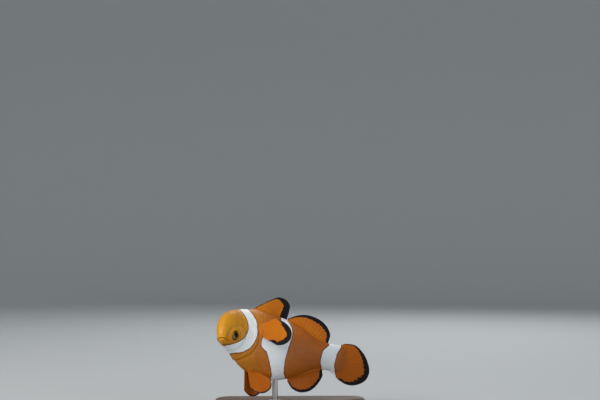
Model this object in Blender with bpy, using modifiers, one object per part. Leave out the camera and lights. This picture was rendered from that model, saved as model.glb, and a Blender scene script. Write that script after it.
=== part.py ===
"""Life-size clownfish on a small display stand.

The fish is laid out first as a straight fish, in hundredths of its standard length:
x runs from the snout (0) to the root of the tail fin (100), y to the fish's right and
z up from its axis. The spine is then curved, and the fish is set over its stand, in
metres. The origin is the middle of the base's underside, and the fish faces -X.
"""

import math

import bmesh
import bpy
import numpy as np
from mathutils import Matrix, Vector

# Driving sizes, in metres and degrees
STANDARD_LENGTH = 0.063
GAP = 0.0003
FIN_THICKNESS = 0.00055
BASE_SIZE = (0.066, 0.042, 0.006)
BASE_CORNER = 0.007
BASE_EDGE = 0.0009
ROD_RADIUS = 0.0012
COLLAR_RADIUS = 0.0032
COLLAR_HEIGHT = 0.0014
ROD_UNDER_X = 51.0
ROD_INSIDE = 0.004
FISH_AT = (-0.009, -0.001, 0.0298)

# How the fish is posed: the whole fish, then the bends of its spine
TURN = 16.5
NOSE_UP = 11.0
BANK = -16.0
HEAD_TURN = 53.0
HEAD_DROP = 5.5
HEAD_TWIST = -10.0
TAIL_TURN = 11.5
TAIL_TWIST = 12.0
NECK_X = 38.0
TAIL_BEND_X = 50.0
PIVOT_X = 45.0

# Outline of the body at even steps of the square root of x, so at
# x = 0, 1, 4, 9, 16, 25, 36, 49, 64, 81 and 100
BACK = (-1.0, 4.3, 11.0, 16.6, 20.3, 22.7, 24.0, 21.8, 17.7, 10.8, 10.2)
BELLY = (-1.0, -4.3, -6.2, -7.7, -11.4, -17.8, -21.4, -22.8, -17.8, -9.5, -8.6)
HALF_WIDTH = (0.0, 2.7, 4.7, 6.8, 8.9, 10.2, 10.5, 9.6, 7.2, 4.4, 2.2)
BODY_END = 100.0
# The section is an ellipse, squarer at the face, whose back and belly are pinched towards
# the tail, and whose throat narrows towards the chin
RIDGE_PINCH = 0.15
RIDGE_FULL_X = 40.0
FACE_FULL = 0.3
FACE_END_X = 22.0
CHIN_PINCH = 0.22
CHIN_END_X = 32.0

# Where the body is parted
GILL_EDGE_X = 27.5
GILL_BULGE = 4.0
GILL_REACH = 17.0
TAIL_START_X = 86.0

# Head details
EYE_X = 10.0
EYE_Z = 0.2
EYE_RADIUS = 3.6
EYE_DEPTH = 2.7
EYE_SUNK = 1.6
EYE_FORWARD = 18.0
MOUTH_DEPTH = 6.0
MOUTH_Z = -2.3
MOUTH_TILT = 18.0
MOUTH_SLIT = 0.6

# Fins on the middle line: roots and margins as (x, z) points, from front to back and,
# for the tail, from top to bottom
FIN_EMBED = 2.5
SPINY_ROOTS = ((31, 23.6), (36, 24.2), (42, 23.8), (48, 22.3), (54.3, 19.7))
SPINY_MARGIN = (
    (31.5, 24.6), (35.8, 28.2), (41.4, 32.2), (47.4, 35.6), (52.8, 35.0),
    (56.3, 31.4), (56.2, 26.6),
)
SOFT_ROOTS = ((55.6, 19.3), (62, 17.9), (70, 15.4), (78, 11.8), (85, 9.2))
SOFT_MARGIN = (
    (56.0, 21.7), (62, 24.9), (69, 26.4), (77, 25.4), (83.8, 22), (88, 16.4), (87.4, 10),
)
ANAL_ROOTS = ((59.5, -18.8), (66, -16.6), (73, -13.6), (80, -10.4), (85, -9.2))
ANAL_MARGIN = (
    (60.4, -21.6), (64.6, -25.6), (71, -27), (78.6, -24.6), (84, -19.4), (87, -13.4),
    (86.2, -10),
)
TAIL_ROOTS = ((91, 7.8), (95.5, 4.6), (96, 0), (95.5, -4.6), (91, -7.8))
TAIL_MARGIN = (
    (101, 12.4), (109, 13.0), (116.4, 9.4), (122, 4.2), (126.2, -2.6),
    (124.9, -9.4), (117.4, -14.1), (108.6, -15.2), (101, -13.4),
)

# Paired fins: where each is rooted, the length of its root, and its rays' lengths
PECTORAL_X = 35.0
PECTORAL_Z = 7.6
PECTORAL_BASE = 7.6
PECTORAL_LENGTHS = (11.5, 16.5, 21.7, 25.6, 26, 21.8, 14.3)
PECTORAL_CUP = 1.6
PECTORAL_SWING = {"right": 42.0, "left": 60.0}
PELVIC_X = 31.5
PELVIC_Y = 2.4
PELVIC_Z = -18.6
PELVIC_LENGTHS = (13, 16.5, 18, 18, 16.5, 12.5)
PELVIC_CUP = 0.8
FAN_EMBED = 2.0

AROUND = 36
SHARP_ANGLE = math.radians(40)
UNIT = STANDARD_LENGTH / 100
GAP_UNITS = GAP / UNIT


def clear_scene():
    for obj in list(bpy.data.objects):
        bpy.data.objects.remove(obj, do_unlink=True)


def new_collection(name, hidden=False):
    collection = bpy.data.collections.new(name)
    bpy.context.scene.collection.children.link(collection)
    collection.hide_render = hidden
    return collection


def material(name, colour, roughness, metallic=0.0):
    made = bpy.data.materials.new(name)
    made.use_nodes = True
    shader = made.node_tree.nodes["Principled BSDF"]
    shader.inputs["Base Color"].default_value = (*colour, 1.0)
    shader.inputs["Roughness"].default_value = roughness
    shader.inputs["Metallic"].default_value = metallic
    made.diffuse_color = (*colour, 1.0)
    return made


# The straight fish


def through(values, t):
    """Catmull-Rom curve through evenly spaced values, read at t from 0 to 1."""
    known = np.asarray(values, float)
    known = np.concatenate([[2 * known[0] - known[1]], known, [2 * known[-1] - known[-2]]])
    last = len(values) - 1
    place = np.clip(np.asarray(t, float), 0.0, 1.0) * last
    i = np.minimum(place.astype(int), last - 1)
    f = place - i
    a, b, c, d = known[i], known[i + 1], known[i + 2], known[i + 3]
    bow = (2 * a - 5 * b + 4 * c - d) + f * (3 * b - 3 * c + d - a)
    return b + 0.5 * f * (c - a + f * bow)


def outline(x):
    """Back, belly and half width of the body at x."""
    t = np.sqrt(np.clip(x, 0.0, BODY_END) / BODY_END)
    return through(BACK, t), through(BELLY, t), through(HALF_WIDTH, t)


def body_points(x, angle, grow=0.0):
    """Points of the body's surface: angle 0 is the fish's right side and 90 degrees its back."""
    back, belly, half = outline(x)
    middle = (back + belly) / 2
    across, up = np.cos(angle), np.sin(angle)
    ridge = 1.0 + RIDGE_PINCH * np.clip(x / RIDGE_FULL_X, 0, 1)
    ridge = ridge - FACE_FULL * np.clip(1 - x / FACE_END_X, 0, 1)
    chin = 1.0 - CHIN_PINCH * np.clip(-up, 0, 1) * np.clip(1 - x / CHIN_END_X, 0, 1)
    y = (half + grow) * np.sign(across) * np.abs(across) ** ridge * chin
    z = middle + ((back - belly) / 2 + grow) * up
    return np.stack([x + np.zeros_like(y), y, z], axis=-1)


def gill_shift(x, angle):
    """How far the ring at x bows back beside the gill cover's edge."""
    near = np.clip(1 - ((x - GILL_EDGE_X) / GILL_REACH) ** 2, 0, 1) ** 2
    low = np.cos(angle) ** 2 * (1 - 0.25 * np.sin(angle))
    return GILL_BULGE * near * low


# The curved fish


def pose_rotation(turn, nose_up, bank):
    return (
        Matrix.Rotation(math.radians(turn), 3, "Z")
        @ Matrix.Rotation(math.radians(nose_up), 3, "Y")
        @ Matrix.Rotation(math.radians(bank), 3, "X")
    )


def spine_frames():
    """Along x: the spine's place and the fish's right and up directions, as rows."""
    x = np.linspace(-20, 140, 801)
    head = np.clip((NECK_X - x) / NECK_X, 0, 1.3)
    tail = np.clip((x - TAIL_BEND_X) / (BODY_END - TAIL_BEND_X), 0, 1.5)
    heading = np.radians(HEAD_TURN * head + TAIL_TURN * tail)
    rise = np.radians(HEAD_DROP * head)
    twist = np.radians(HEAD_TWIST * head + TAIL_TWIST * tail)
    back = np.stack(
        [np.cos(heading) * np.cos(rise), np.sin(heading) * np.cos(rise), np.sin(rise)], 1
    )
    right = np.stack([-np.sin(heading), np.cos(heading), np.zeros_like(x)], 1)
    up = np.cross(back, right)
    steps = (back[1:] + back[:-1]) / 2 * (x[1] - x[0])
    place = np.concatenate([np.zeros((1, 3)), np.cumsum(steps, axis=0)])
    place -= np.array([np.interp(PIVOT_X, x, place[:, i]) for i in range(3)])
    c, s = np.cos(twist)[:, None], np.sin(twist)[:, None]
    return x, place, c * right + s * up, c * up - s * right


SPINE = spine_frames()
POSE = np.array(pose_rotation(TURN, NOSE_UP, BANK))


def posed(points):
    """World points, in metres, of points given on the straight fish."""
    points = np.asarray(points, float)
    x, *tracks = SPINE
    place, right, up = (
        np.stack([np.interp(points[..., 0], x, track[:, i]) for i in range(3)], axis=-1)
        for track in tracks
    )
    curved = place + points[..., 1:2] * right + points[..., 2:3] * up
    return curved @ POSE.T * UNIT + np.array(FISH_AT)


def frame_at(point):
    """Matrix that carries fin-sized shapes to a point of the fish: its X to the tail, Z up."""
    point = np.asarray(point, float)
    here = posed(point)
    right = (posed(point + (0, 0.5, 0)) - posed(point - (0, 0.5, 0))) / UNIT
    up = (posed(point + (0, 0, 0.5)) - posed(point - (0, 0, 0.5))) / UNIT
    back = np.cross(right, up)
    columns = np.stack([back, right, up], axis=1)
    return Matrix.Translation(Vector(here)) @ Matrix(columns.tolist()).to_4x4()


# Meshes


def add_mesh(name, points, faces, finish, collection):
    mesh = bpy.data.meshes.new(name)
    mesh.from_pydata([tuple(p) for p in points], [], faces)
    work = bmesh.new()
    work.from_mesh(mesh)
    bmesh.ops.recalc_face_normals(work, faces=work.faces)
    work.to_mesh(mesh)
    work.free()
    return add_object(name, mesh, finish, collection)


def add_object(name, mesh, finish, collection):
    if finish is not None:
        mesh.materials.append(finish)
    mesh.shade_smooth()
    mesh.set_sharp_from_angle(angle=SHARP_ANGLE)
    obj = bpy.data.objects.new(name, mesh)
    collection.objects.link(obj)
    return obj


def loft(name, rings, snout, finish, collection):
    """A closed tube through rings of points, with a fan over each end; the first meets at the
    snout where one is given."""
    count, around = rings.shape[:2]
    points = rings.reshape(-1, 3).tolist()
    faces = []
    for i in range(count - 1):
        for j in range(around):
            k = (j + 1) % around
            a, b = i * around, (i + 1) * around
            faces.append((a + j, a + k, b + k, b + j))
    ends = ((0, snout), (count - 1, None))
    for ring, tip in ends:
        points.append(rings[ring].mean(axis=0) if tip is None else tip)
        middle = len(points) - 1
        for j in range(around):
            faces.append((ring * around + j, ring * around + (j + 1) % around, middle))
    return add_mesh(name, points, faces, finish, collection)


def stations(start, end, count):
    return np.linspace(math.sqrt(start), math.sqrt(end), count) ** 2


def body_length(name, start, end, count, finish, collection, grow=0.0):
    """A length of the body between two rings; a start of 0 is the rounded snout."""
    from_snout = start == 0
    x = stations(0.25 if from_snout else start, end, count)[:, None]
    angle = np.linspace(0, 2 * np.pi, AROUND, endpoint=False)[None, :]
    shifted = x + gill_shift(x, angle)
    rings = body_points(shifted, angle, grow)
    rings[..., 0] -= grow * np.clip(1 - x / 25, -1, 1)
    snout = posed((-grow, 0, BACK[0])) if from_snout else None
    return loft(name, posed(rings), snout, finish, collection)


def blade(name, grid, clearance, finish, collection):
    """A fin: an open sheet of points, given its thickness and cut clear of the body."""
    rows, columns = grid.shape[:2]
    mesh = bpy.data.meshes.new(name)
    work = bmesh.new()
    bmesh.ops.create_grid(work, x_segments=columns - 1, y_segments=rows - 1, size=1.0)
    flat = grid.reshape(-1, 3)
    for vert in work.verts:
        column = round((vert.co.x + 1) / 2 * (columns - 1))
        row = round((vert.co.y + 1) / 2 * (rows - 1))
        vert.co = flat[row * columns + column]
    work.to_mesh(mesh)
    work.free()
    obj = add_object(name, mesh, finish, collection)
    solid = obj.modifiers.new("thickness", "SOLIDIFY")
    solid.thickness = FIN_THICKNESS
    solid.offset = 0.0
    solid.use_even_offset = True
    cut(obj, clearance)


def cut(obj, cutter):
    trim = obj.modifiers.new("clear_of_" + cutter.name, "BOOLEAN")
    trim.operation = "DIFFERENCE"
    trim.solver = "EXACT"
    trim.object = cutter


def as_cutter(obj):
    obj.hide_render = True
    obj.display_type = "WIRE"
    return obj


def ball(name, matrix, radii, finish, collection):
    """A sphere stretched to three radii, in hundredths of the standard length, and placed."""
    mesh = bpy.data.meshes.new(name)
    work = bmesh.new()
    bmesh.ops.create_uvsphere(work, u_segments=18, v_segments=10, radius=UNIT)
    work.transform(matrix @ Matrix.Diagonal((*radii, 1.0)))
    work.to_mesh(mesh)
    work.free()
    return add_object(name, mesh, finish, collection)


# Fins


def median_fin(roots, margin, rows, columns, embed=FIN_EMBED):
    """Sheet on the middle line between a root line, sunk in the body, and a margin."""
    u = np.linspace(0, 1, columns)
    v = np.linspace(0, 1, rows)[:, None]
    root_x, root_z = (through([p[i] for p in roots], u) for i in range(2))
    edge_x, edge_z = (through([p[i] for p in margin], u) for i in range(2))
    root_z = root_z - embed * np.sign(edge_z - root_z)
    x = root_x + (edge_x - root_x) * v
    z = root_z + (edge_z - root_z) * v
    return posed(np.stack([x, np.zeros_like(x), z], axis=-1))


def ray_fan(base_from, base_to, first, last, lengths, cup, rows, columns):
    """Sheet of rays that spread from a short base: lengths are read along it, cup bows it."""
    u = np.linspace(0, 1, columns)[None, :, None]
    v = np.linspace(0, 1, rows)[:, None, None]
    start = np.array(base_from) * (1 - u) + np.array(base_to) * u
    angle = math.acos(float(np.dot(first, last)))
    way = first * np.sin((1 - u) * angle) + last * np.sin(u * angle)
    way = way / math.sin(angle)
    reach = through(lengths, u[0, :, 0])[None, :, None]
    normal = np.cross(first, last)
    normal = normal / np.linalg.norm(normal)
    bow = cup * v * v * np.sin(np.pi * u) * normal
    inward = -(first + last) / np.linalg.norm(first + last)
    return start + FAN_EMBED * inward * (1 - v) + way * reach * v + bow


def direction(back, out, up):
    """Unit vector from its shares towards the tail, away from the side and upwards."""
    made = np.array((back, out, up), float)
    return made / np.linalg.norm(made)


def carried(matrix, sheet):
    rotation = np.array(matrix.to_3x3())
    return sheet @ rotation.T * UNIT + np.array(matrix.translation)


def pectoral_sheet(swing):
    """The right pectoral fin, swung out from the body by an angle."""
    out, level = math.sin(math.radians(swing)), math.cos(math.radians(swing))
    top = (-0.6, 0.0, PECTORAL_BASE / 2)
    foot = (0.6, 0.0, -PECTORAL_BASE / 2)
    upper = direction(level, out, 0.28)
    lower = direction(level, out, -0.62)
    return ray_fan(top, foot, upper, lower, PECTORAL_LENGTHS, PECTORAL_CUP, 9, 15)


def pelvic_sheet():
    """The right pelvic fin, hanging down and back from the breast."""
    front = (-1.6, 0.0, 0.0)
    rear = (1.8, 0.0, 0.0)
    leading = direction(0.10, 0.20, -1.0)
    trailing = direction(1.0, 0.34, -0.42)
    return ray_fan(front, rear, leading, trailing, PELVIC_LENGTHS, PELVIC_CUP, 8, 10)


def side_mount(x, z):
    """Point on the body's right side at x and z."""
    back, belly, _ = outline(np.array(x))
    rise = float((z - (back + belly) / 2) / ((back - belly) / 2))
    return body_points(np.array(x), np.array(math.asin(rise)))


def add_fins(clearance, orange, collection):
    sheets = {
        "dorsal_fin_spiny": median_fin(SPINY_ROOTS, SPINY_MARGIN, 8, 20),
        "dorsal_fin_soft": median_fin(SOFT_ROOTS, SOFT_MARGIN, 7, 19),
        "anal_fin": median_fin(ANAL_ROOTS, ANAL_MARGIN, 7, 17),
        "caudal_fin": median_fin(TAIL_ROOTS, TAIL_MARGIN, 9, 25, embed=0.0),
    }
    for name, sheet in sheets.items():
        blade(name, sheet, clearance, orange, collection)
    shoulder = side_mount(PECTORAL_X, PECTORAL_Z)
    breast = np.array((PELVIC_X, PELVIC_Y, PELVIC_Z))
    for side, sign in (("right", 1.0), ("left", -1.0)):
        flip = np.array((1.0, sign, 1.0))
        fins = {
            "pectoral_fin_" + side: (shoulder, pectoral_sheet(PECTORAL_SWING[side])),
            "pelvic_fin_" + side: (breast, pelvic_sheet()),
        }
        for name, (root, sheet) in fins.items():
            placed = carried(frame_at(root * flip), sheet * flip)
            blade(name, placed, clearance, orange, collection)


# Head, eyes and stand


def add_eyes(head, dark, collection, cutters):
    """Flattened balls sunk in the sides of the head, which look a little forward."""
    root = side_mount(EYE_X, EYE_Z)
    radii = np.array((EYE_RADIUS, EYE_DEPTH, EYE_RADIUS))
    for side, sign in (("left", -1.0), ("right", 1.0)):
        centre = (root[0], sign * (root[1] - EYE_SUNK), root[2])
        looking = Matrix.Rotation(math.radians(sign * EYE_FORWARD), 4, "Z")
        matrix = frame_at(centre) @ looking
        ball("eye_" + side, matrix, radii, dark, collection)
        socket = ball("socket_" + side, matrix, radii + GAP_UNITS, None, cutters)
        cut(head, as_cutter(socket))


def add_mouth(head, cutters):
    """The closed lips are a thin lens-shaped slit across the snout."""
    mesh = bpy.data.meshes.new("mouth_slit")
    work = bmesh.new()
    bmesh.ops.create_uvsphere(work, u_segments=24, v_segments=8, radius=MOUTH_DEPTH)
    squash = Matrix.Diagonal((1.0, 0.85, MOUTH_SLIT / (2 * MOUTH_DEPTH), 1.0))
    tilt = Matrix.Rotation(math.radians(MOUTH_TILT), 4, "Y")
    work.transform(frame_at((0.2, 0, MOUTH_Z)) @ Matrix.Scale(UNIT, 4) @ tilt @ squash)
    work.to_mesh(mesh)
    work.free()
    cut(head, as_cutter(add_object("mouth_slit", mesh, None, cutters)))


def add_base(wood, collection):
    mesh = bpy.data.meshes.new("stand_base")
    work = bmesh.new()
    bmesh.ops.create_cube(work, size=1.0)
    bmesh.ops.scale(work, vec=BASE_SIZE, verts=work.verts)
    bmesh.ops.translate(work, vec=(0, 0, BASE_SIZE[2] / 2), verts=work.verts)
    upright = [e for e in work.edges if abs(e.verts[0].co.z - e.verts[1].co.z) > BASE_SIZE[2] / 2]
    bmesh.ops.bevel(
        work, geom=upright, offset=BASE_CORNER, segments=6, profile=0.5, affect="EDGES"
    )
    work.to_mesh(mesh)
    work.free()
    obj = add_object("stand_base", mesh, wood, collection)
    edge = obj.modifiers.new("eased_edge", "BEVEL")
    edge.width = BASE_EDGE
    edge.segments = 2
    edge.limit_method = "ANGLE"
    edge.angle_limit = math.radians(60)


def rod_foot():
    """Where the rod meets the base's gap, and how high the belly is above it."""
    belly = float(outline(np.array(ROD_UNDER_X))[1])
    touch = posed((ROD_UNDER_X, 0, belly))
    bottom = BASE_SIZE[2] + GAP
    return Vector((touch[0], touch[1], bottom)), touch[2] - bottom


def add_rod(clearance, steel, collection):
    """A straight rod from the base up to the belly, whose skin trims its top."""
    foot, height = rod_foot()
    height += ROD_INSIDE
    mesh = bpy.data.meshes.new("stand_rod")
    work = bmesh.new()
    bmesh.ops.create_cone(
        work, cap_ends=True, segments=20, radius1=ROD_RADIUS, radius2=ROD_RADIUS, depth=height
    )
    bmesh.ops.translate(work, vec=foot + Vector((0, 0, height / 2)), verts=work.verts)
    work.to_mesh(mesh)
    work.free()
    cut(add_object("stand_rod", mesh, steel, collection), clearance)


def add_collar(steel, collection):
    """A turned ring that sits on the base round the rod's foot."""
    inner = ROD_RADIUS + GAP
    profile = (
        (inner, COLLAR_HEIGHT),
        (COLLAR_RADIUS * 0.8, COLLAR_HEIGHT),
        (COLLAR_RADIUS, COLLAR_HEIGHT * 0.45),
        (COLLAR_RADIUS, 0.0),
        (inner, 0.0),
    )
    mesh = bpy.data.meshes.new("stand_collar")
    count = len(profile)
    edges = [(i, (i + 1) % count) for i in range(count)]
    mesh.from_pydata([(r, 0.0, z) for r, z in profile], edges, [])
    collar = add_object("stand_collar", mesh, steel, collection)
    collar.location = rod_foot()[0]
    turned = collar.modifiers.new("turned", "SCREW")
    turned.steps = 24
    turned.render_steps = 24
    turned.use_merge_vertices = True
    turned.merge_threshold = 0.00001
    turned.use_smooth_shade = False


def main():
    clear_scene()
    fish = new_collection("clownfish_on_stand")
    cutters = new_collection("cutters", hidden=True)
    amber = material("amber_skin", (0.56, 0.20, 0.01), 0.45)
    golden = material("golden_head", (0.62, 0.33, 0.015), 0.45)
    fin_orange = material("fin_orange", (0.60, 0.24, 0.01), 0.5)
    eye_dark = material("eye_dark", (0.02, 0.015, 0.01), 0.1)
    walnut = material("walnut", (0.10, 0.05, 0.025), 0.45)
    steel = material("steel", (0.62, 0.62, 0.63), 0.3, 1.0)

    half_gap = GAP_UNITS / 2
    head = body_length("head", 0, GILL_EDGE_X - half_gap, 22, golden, fish)
    body_length("trunk", GILL_EDGE_X + half_gap, TAIL_START_X - half_gap, 20, amber, fish)
    body_length("tail", TAIL_START_X + half_gap, BODY_END, 6, amber, fish)
    clearance = body_length("body_clearance", 0, BODY_END, 40, None, cutters, GAP_UNITS)
    as_cutter(clearance)

    add_eyes(head, eye_dark, fish, cutters)
    add_mouth(head, cutters)
    add_fins(clearance, fin_orange, fish)
    add_base(walnut, fish)
    add_rod(clearance, steel, fish)
    add_collar(steel, fish)


main()
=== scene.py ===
"""A life-size clownfish in a swimming pose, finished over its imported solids.

The fish is worked out straight, in hundredths of its standard length: x runs from the
snout (0) to the root of the tail fin (100), y to its right and z up. It is then bent
along its spine, banked and set over its stand, in metres. The fish faces -X.
"""

import math

import bpy
import numpy as np
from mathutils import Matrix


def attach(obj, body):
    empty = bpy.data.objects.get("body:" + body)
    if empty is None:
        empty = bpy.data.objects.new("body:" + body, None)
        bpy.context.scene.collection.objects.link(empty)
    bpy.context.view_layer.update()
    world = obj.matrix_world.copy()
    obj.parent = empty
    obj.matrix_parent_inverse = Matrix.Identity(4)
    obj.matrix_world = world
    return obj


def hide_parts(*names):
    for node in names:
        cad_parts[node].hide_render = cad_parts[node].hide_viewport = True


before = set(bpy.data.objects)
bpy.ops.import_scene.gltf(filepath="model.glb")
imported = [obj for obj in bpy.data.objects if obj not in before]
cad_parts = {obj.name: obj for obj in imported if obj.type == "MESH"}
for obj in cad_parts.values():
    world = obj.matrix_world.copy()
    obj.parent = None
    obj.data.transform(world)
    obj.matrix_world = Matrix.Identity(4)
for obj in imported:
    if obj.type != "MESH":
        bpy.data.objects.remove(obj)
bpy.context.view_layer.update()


# The skin. One closed hide covers head, trunk and tail of the fish, from the lips to the
# scaly root of the tail fin. It is cast skin over the carved body, with lips, nostrils,
# eye rims and gill covers raised in it, and lies under the scales.

STANDARD_LENGTH = 0.063
UNIT = STANDARD_LENGTH / 100
FISH_AT = np.array((-0.009, -0.001, 0.0298))
# How the fish is posed, in degrees: the whole fish, then the bends of its spine, which end
# at these x
TURN = 16.5
NOSE_UP = 11.0
BANK = -16.0
HEAD_TURN = 53.0
HEAD_DROP = 5.5
HEAD_TWIST = -10.0
TAIL_TURN = 11.5
TAIL_TWIST = 12.0
NECK_X = 38.0
TAIL_BEND_X = 50.0
PIVOT_X = 45.0

# Outline of the body at even steps of the square root of x
BODY_END = 100.0
BACK = (-1.0, 4.3, 11.0, 16.6, 20.3, 22.7, 24.0, 21.8, 17.7, 10.8, 10.2)
BELLY = (-1.0, -4.3, -6.2, -7.7, -11.4, -17.8, -21.4, -22.8, -17.8, -9.5, -8.6)
HALF_WIDTH = (0.0, 2.7, 4.7, 6.8, 8.9, 10.2, 10.5, 9.6, 7.2, 4.4, 2.2)
# How the section leaves an ellipse: pinched at the crest, squarer at the face, narrower
# towards the chin, and thinned out over the root of the tail fin
RIDGE_PINCH = 0.15
RIDGE_FULL_X = 40.0
FACE_FULL = 0.3
FACE_END_X = 22.0
CHIN_PINCH = 0.22
CHIN_END_X = 32.0
STUB_X = (97.0, 104.5)
STUB_THINNED = 0.84
STUB_LOWERED = 0.12
TURN_EVENED = 0.175
SKIN_SUNK = 0.2  # the depth of the scales that lie on it


def through(values, t):
    """Catmull-Rom curve through evenly spaced values, read at t from 0 to 1."""
    known = np.asarray(values, float)
    known = np.concatenate([[2 * known[0] - known[1]], known, [2 * known[-1] - known[-2]]])
    last = len(values) - 1
    place = np.clip(np.asarray(t, float), 0.0, 1.0) * last
    i = np.minimum(place.astype(int), last - 1)
    f = place - i
    a, b, c, d = known[i], known[i + 1], known[i + 2], known[i + 3]
    bow = (2 * a - 5 * b + 4 * c - d) + f * (3 * b - 3 * c + d - a)
    return b + 0.5 * f * (c - a + f * bow)


def ramp(start, end, value):
    """Smooth step: 0 at start, 1 at end, with no slope at either."""
    t = np.clip((value - start) / (end - start), 0, 1)
    return t * t * (3 - 2 * t)


def hump(value):
    """Bell curve, exp(-value squared)."""
    return np.exp(-(value**2))


def spine():
    """Along x: the spine's place and the fish's right and up, from its heading, rise and twist."""
    x = np.linspace(-20, 140, 1601)
    head = np.clip((NECK_X - x) / NECK_X, 0, 1.3)
    tail = np.clip((x - TAIL_BEND_X) / (BODY_END - TAIL_BEND_X), 0, 1.5)
    heading = np.radians(HEAD_TURN * head + TAIL_TURN * tail)
    rise = np.radians(HEAD_DROP * head)
    twist = np.radians(HEAD_TWIST * head + TAIL_TWIST * tail)
    back = np.stack(
        [np.cos(heading) * np.cos(rise), np.sin(heading) * np.cos(rise), np.sin(rise)], 1
    )
    right = np.stack([-np.sin(heading), np.cos(heading), np.zeros_like(x)], 1)
    up = np.cross(back, right)
    steps = (back[1:] + back[:-1]) / 2 * (x[1] - x[0])
    place = np.concatenate([np.zeros((1, 3)), np.cumsum(steps, axis=0)])
    place -= np.array([np.interp(PIVOT_X, x, place[:, i]) for i in range(3)])
    c, s = np.cos(twist)[:, None], np.sin(twist)[:, None]
    return x, place, c * right + s * up, c * up - s * right


def turned(axis, degrees):
    """Rotation matrix about one of the axes 0, 1 and 2."""
    c, s = math.cos(math.radians(degrees)), math.sin(math.radians(degrees))
    made = np.eye(3)
    j, k = (axis + 1) % 3, (axis + 2) % 3
    made[j, j], made[j, k], made[k, j], made[k, k] = c, -s, s, c
    return made


SPINE = spine()
POSE = turned(2, TURN) @ turned(1, NOSE_UP) @ turned(0, BANK)


def posed(points):
    """World points: the spine's place at x, plus y to the right and z up, turned and set down."""
    x, *tracks = SPINE
    place, right, up = (
        np.stack([np.interp(points[..., 0], x, track[:, i]) for i in range(3)], axis=-1)
        for track in tracks
    )
    curved = place + points[..., 1:2] * right + points[..., 2:3] * up
    return curved @ POSE.T * UNIT + FISH_AT


def body(s, angle):
    """Ring at x = 100 s squared: an ellipse between back and belly, squarer at the face and
    pinched at the crest, which narrows to the chin and thins out over the tail fin's root."""
    x = BODY_END * s**2
    t = np.clip(s, 0, 1)
    back, belly, half = through(BACK, t), through(BELLY, t), through(HALF_WIDTH, t)
    thin = ramp(*STUB_X, x)
    half = half * (1 - STUB_THINNED * thin)
    tall = (back - belly) / 2 * (1 - STUB_LOWERED * thin)
    across, up = np.cos(angle), np.sin(angle)
    ridge = 1.0 + RIDGE_PINCH * np.clip(x / RIDGE_FULL_X, 0, 1)
    ridge = ridge - FACE_FULL * np.clip(1 - x / FACE_END_X, 0, 1)
    chin = 1.0 - CHIN_PINCH * np.clip(-up, 0, 1) * np.clip(1 - x / CHIN_END_X, 0, 1)
    y = half * np.sign(across) * np.abs(across) ** ridge * chin
    return np.stack([x + np.zeros_like(y), y, (back + belly) / 2 + tall * up], axis=-1)


def evened(turn):
    """Angles that lie evenly along the tall section for even turns."""
    return turn - TURN_EVENED * np.sin(2 * turn)


def on_side(x, z):
    """The ring and angle of the right side's point at x and z."""
    s = np.sqrt(np.asarray(x, float) / BODY_END)
    back, belly = through(BACK, s), through(BELLY, s)
    return s, np.arcsin(np.clip((z - (back + belly) / 2) / ((back - belly) / 2), -1, 1))


EYE_AT = (10.0, 0.2)
EYE_RADIUS = 3.6
EYE_DEPTH = 2.7
EYE_SUNK = 1.6
EYE_FORWARD = 18.0
EYE_MIDDLE = body(*on_side(*EYE_AT)) - np.array((0, EYE_SUNK, 0))
EYE_AXIS = turned(2, EYE_FORWARD) @ np.array((0.0, 1.0, 0.0))
NOSTRIL = body(*on_side(5.2, 4.2))
PECTORAL_LOBE = (34.6, 7.6)
MOUTH_Z = -2.2
MOUTH_FALL = -0.40
MOUTH_END_X = 5.6
# Free edges of the two cheek plates: x at even steps of z
PREOPERCLE_Z = (-10.5, 8.5)
PREOPERCLE_X = (6.0, 14.2, 17.4, 18.6, 18.6, 17.4, 14.6)
GILL_Z = (-19.0, 15.0)
GILL_X = (9.0, 17.0, 24.2, 28.6, 30.6, 31.0, 30.0, 27.6, 22.0)


def past_edge(x, z, reach, edge):
    """Distance behind a free edge given as x over z: the gap in x over the edge's slant."""
    t = (z - reach[0]) / (reach[1] - reach[0])
    at = through(edge, t)
    slope = (through(edge, t + 0.01) - through(edge, t - 0.01)) / (0.02 * (reach[1] - reach[0]))
    return (x - at) / np.sqrt(1 + slope**2)


def from_eye(points):
    """A point's distance from the eye's axis, and how far out along the axis it lies."""
    apart = points - EYE_MIDDLE
    along = apart @ EYE_AXIS
    return np.linalg.norm(apart - along[..., None] * EYE_AXIS, axis=-1), along


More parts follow.
